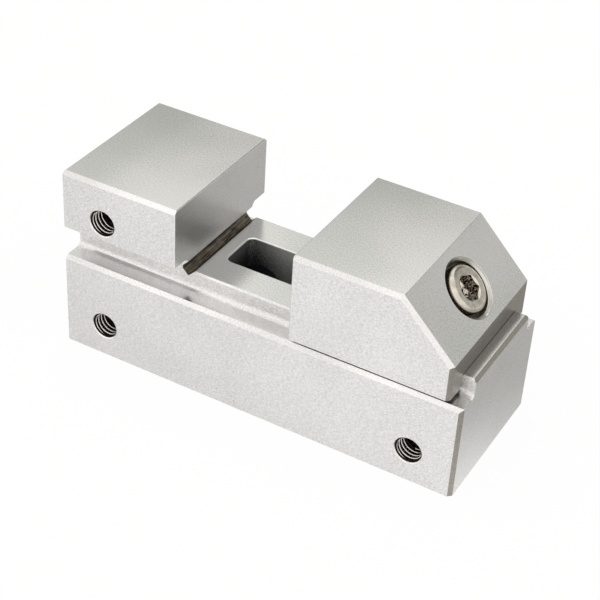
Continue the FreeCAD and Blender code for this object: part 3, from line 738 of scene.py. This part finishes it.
def body_steel(at, normal):
    """Milled in the relief groove, blasted with painted shade in slot and channel, dull and darker on the end's
    chamfers, else ground.
    """
    x = at.x - body_low.x
    slanting = min(abs(normal.x), abs(normal.z)) > LEANS and abs(normal.y) < CHAMFERED
    if within(x, RELIEF_X_MM) and within(at.z, RELIEF_Z_MM) and slanting:
        return milled_steel
    on_wall = abs(at.y) < CHANNEL_WALL_MM and abs(normal.y) > LOOKS_ALONG
    if within(x, CHANNEL_X_MM) and within(at.z, CHANNEL_Z_MM) and (on_wall or abs(at.y) < CHANNEL_HALF_MM):
        return blasted_shaded_steel
    at_rail_end = x > RAIL_END_X_MM and within(at.z, RAIL_END_Z_MM)
    if at_rail_end and min(normal.x, normal.z) > CHAMFERED:
        return dull_shaded_steel
    at_corner = x > CORNER_X_MM and abs(at.y) > CORNER_Y_MM
    if at_corner and min(abs(normal.x), abs(normal.y)) > CHAMFERED:
        return dull_shaded_steel
    return ground_steel


block = copy_of_solid("vise_body", body_steels, body_steel)
crest_index, root_index = body_steels.index(thread_crest), body_steels.index(thread_root_oil_and_shade)
for mount in frame["record"]["mounts"]:
    if mount["kind"] == "threaded_hole":
        side = 1 if mount["pos_m"][1] > 0 else -1
        x, z = mount["pos_m"][0] / MM, mount["pos_m"][2] / MM
        count = tap_hole(block, x, z, side, crest_index, root_index)
        print(mount["name"], "has", count, "points round")
bmesh.ops.recalc_face_normals(block, faces=block.faces)
fixed_block = make_piece("fixed_block", block, "base", body_steels, "vise_body")
round_edges(fixed_block, ROUNDING_MM)

# %% [markdown]
# ### The movable jaw
# It is ground like the block. The leaning counterbore, its chamfered mouth and the hole under it are
# turned, and the low end face behind the slope is dull and darker, with painted shade. Where that
# face meets the rail, a dark line of painted shade marks the gap between jaw and rail. Along the
# slope x and z add up to one number, and along the screw's axis they differ by another, so both
# places are easy to tell from the middle of a face.

# %% Movable jaw
JAW_BACK_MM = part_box("movable_jaw")[1].x / MM
BACK_WITHIN_MM = 0.1
BACK_CHAMFER_MM = 0.9
SLOPE_FOOT_MM = 30.8
SLOPE_LINE_MM = JAW_BACK_MM + SLOPE_FOOT_MM
BELOW_SLOPE_MM = 0.05
SCREW_LINE_MM = 0.38
BORE_HALF_WIDTH_MM = 7
BORE_HALF_LINE_MM = 9
RAIL_TOP_MM = 26.0
SHADE_LINE_MM = 0.22

jaw_steels = [ground_steel, turned_steel, dull_shaded_steel, thread_root_oil_and_shade]


def jaw_steel(at, normal):
    """Turned in the screw's bore, dull and darker on the back end and its corners, a line of painted shade at the
    rail, else ground.
    """
    near_screw = abs(at.y) < BORE_HALF_WIDTH_MM and abs(at.x - at.z - SCREW_LINE_MM) < BORE_HALF_LINE_MM
    below_slope = SLOPE_LINE_MM - at.x - at.z > BELOW_SLOPE_MM
    if near_screw and below_slope and normal.z > -LOOKS_ALONG:
        return turned_steel
    on_back = normal.x > LOOKS_ALONG and at.x > JAW_BACK_MM - BACK_WITHIN_MM
    # A thin strip of the back face just above the rail takes the near-black root steel: painted shade of the gap
    # between jaw and rail.
    if on_back and abs(at.z - RAIL_TOP_MM - SHADE_LINE_MM / 2) < SHADE_LINE_MM:
        return thread_root_oil_and_shade
    on_corner = at.x > JAW_BACK_MM - BACK_CHAMFER_MM and min(abs(normal.x), abs(normal.y)) > CHAMFERED
    return dull_shaded_steel if on_corner or on_back else ground_steel


block = copy_of_solid("movable_jaw", jaw_steels, jaw_steel, RAIL_TOP_MM + SHADE_LINE_MM)
jaw_block = make_piece("jaw_block", block, "movable_jaw", jaw_steels, "movable_jaw")
round_edges(jaw_block, ROUNDING_MM)

# %% [markdown]
# ### The socket cap screw
# A screw is a profile turned round its axis, so it is built from rings of points, from the socket's
# mouth out over the head and down to the tip. Two things break the turned shape: the hexagon, whose
# radius changes round the ring, and the thread, whose rings climb as they go round.
# The countersink at the socket's mouth cuts deeper at the hexagon's flats than at its corners,
# which gives the scalloped edge that every such screw has.

# %% Socket cap screw
HEAD_RADIUS_MM = 5.0
HEAD_ROUND_MM = 1.0
HEAD_ROUND_STEPS = 6
HEAD_HEIGHT_MM = 6.0
HEAD_EDGE_MM = 0.25
HEX_ACROSS_MM = 5.0
HEX_DEPTH_MM = 3.0
SOCKET_TIP_MM = 0.7
HEX_TURN = math.radians(3)
SOCKET_MOUTH_MM = 2.93
SOCKET_MOUTH_SLOPE = 0.7
NECK_MM = 2.9
NECK_FILLET_MM = ((0.6, 0.0), (0.2, 0.1), (0.0, 0.5))
THREAD_RUN_OUT_MM = 0.5
THREAD_START_MM = 17.0
THREAD_END_MM = 40.4
TIP_MM = 41.0
TIP_SLOPE = 0.9
TIP_STEP_MM = 0.05
SCREW_ROOT_MM = 2.39
SCREW_CREST_MM = 2.98
ROUND_POINTS = 72
TOO_SHORT_MM = 0.001
SCREW_SHARP_FROM = math.radians(35)


def hexagon_radius(angle):
    """How far the hexagon's wall is from the axis in a direction."""
    from_flat = (angle - HEX_TURN) % (math.pi / 3) - math.pi / 6
    return HEX_ACROSS_MM / 2 / math.cos(from_flat)


screw_joint = next(joint for joint in frame["joints"] if joint["name"] == "screw_turn")
head_top = Vector(screw_joint["pos_m"]) / MM
screw = bmesh.new()
angles = [2 * math.pi * i / ROUND_POINTS for i in range(ROUND_POINTS)]
rings = []
screw_steels = [screw_steel, punched_steel]
HEADED, PUNCHED = range(len(screw_steels))
SOCKET_BANDS = 2


def add_ring(radii, heights):
    """One ring of points round the axis, with a radius and a height for each."""
    points = zip(angles, radii, heights)
    rings.append([screw.verts.new((r * math.cos(a), r * math.sin(a), h)) for a, r, h in points])


def thread_depth(turn_share, angle):
    """How far below the head's top a ring of the thread lies at an angle, between the thread's ends."""
    depth = THREAD_START_MM + (turn_share + angle / (2 * math.pi) - 1) * PITCH_MM
    return min(max(depth, THREAD_START_MM), THREAD_END_MM)


walls = [hexagon_radius(angle) for angle in angles]
add_ring([w / 2 for w in walls], [-HEX_DEPTH_MM - SOCKET_TIP_MM] * ROUND_POINTS)
add_ring(walls, [-HEX_DEPTH_MM] * ROUND_POINTS)
add_ring(walls, [-(SOCKET_MOUTH_MM - w) * SOCKET_MOUTH_SLOPE for w in walls])
add_ring([SOCKET_MOUTH_MM] * ROUND_POINTS, [0.0] * ROUND_POINTS)
for step in range(HEAD_ROUND_STEPS + 1):
    tilt = math.pi / 2 * step / HEAD_ROUND_STEPS
    radius = HEAD_RADIUS_MM - HEAD_ROUND_MM * (1 - math.sin(tilt))
    add_ring([radius] * ROUND_POINTS, [-HEAD_ROUND_MM * (1 - math.cos(tilt))] * ROUND_POINTS)
under_head = [
    (HEAD_RADIUS_MM, HEAD_HEIGHT_MM - HEAD_EDGE_MM),
    (HEAD_RADIUS_MM - HEAD_EDGE_MM, HEAD_HEIGHT_MM),
    *((NECK_MM + out, HEAD_HEIGHT_MM + down) for out, down in NECK_FILLET_MM),
    (NECK_MM, THREAD_START_MM - THREAD_RUN_OUT_MM),
]
for radius, depth in under_head:
    add_ring([radius] * ROUND_POINTS, [-depth] * ROUND_POINTS)
first_ring = len(rings)
for turn in range(int((THREAD_END_MM - THREAD_START_MM) / PITCH_MM) + 2):
    for share in THREAD_SHARES:
        down = [thread_depth(turn + share, angle) for angle in angles]
        radii = []
        for depth, angle in zip(down, angles):
            radius = thread_radius(depth / PITCH_MM - angle / (2 * math.pi), SCREW_CREST_MM, SCREW_ROOT_MM)
            radii.append(min(radius, SCREW_ROOT_MM + (TIP_MM - depth) * TIP_SLOPE))
        add_ring(radii, [-d for d in down])
last_ring = len(rings) - 1
add_ring([SCREW_ROOT_MM - TIP_STEP_MM] * ROUND_POINTS, [-TIP_MM] * ROUND_POINTS)
for number, (inner_ring, outer_ring) in enumerate(zip(rings, rings[1:])):
    for i in range(ROUND_POINTS):
        next_inner, next_outer, j = inner_ring, outer_ring, i + 1
        if j == ROUND_POINTS:
            next_inner = rings[past_seam(number, first_ring, last_ring, 1)]
            next_outer = rings[past_seam(number + 1, first_ring, last_ring, 1) if number < last_ring else -1]
            j = 0
        corners = dict.fromkeys((inner_ring[i], outer_ring[i], next_outer[j], next_inner[j]))
        face = screw.faces.new(list(corners))
        face.material_index = PUNCHED if number < SOCKET_BANDS else HEADED
for ring, steel in ((rings[0], PUNCHED), (rings[-1], HEADED)):
    screw.faces.new(ring).material_index = steel
bmesh.ops.dissolve_degenerate(screw, dist=TOO_SHORT_MM, edges=screw.edges)
bmesh.ops.recalc_face_normals(screw, faces=screw.faces)
lean = Matrix.Rotation(SCREW_LEAN, 4, "Y")
bmesh.ops.transform(screw, matrix=Matrix.Translation(head_top) @ lean, verts=screw.verts)
print("screw:", len(screw.verts), "corners, head's top at", [round(v, 2) for v in head_top])
make_piece("cap_screw", screw, "clamp_screw", screw_steels, "clamp_screw", SCREW_SHARP_FROM)

# %% [markdown]
# ### Washer and nut
# The domed washer and the cross nut are plain turned parts, and little of them shows, so the CAD
# solids stay and only get their finish.

# %% Washer and nut
for node in ("spherical_washer", "cross_nut"):
    mesh = frame["nodes"][node].data
    mesh.materials.clear()
    mesh.materials.append(turned_steel)
    print(node, "is", turned_steel.name)
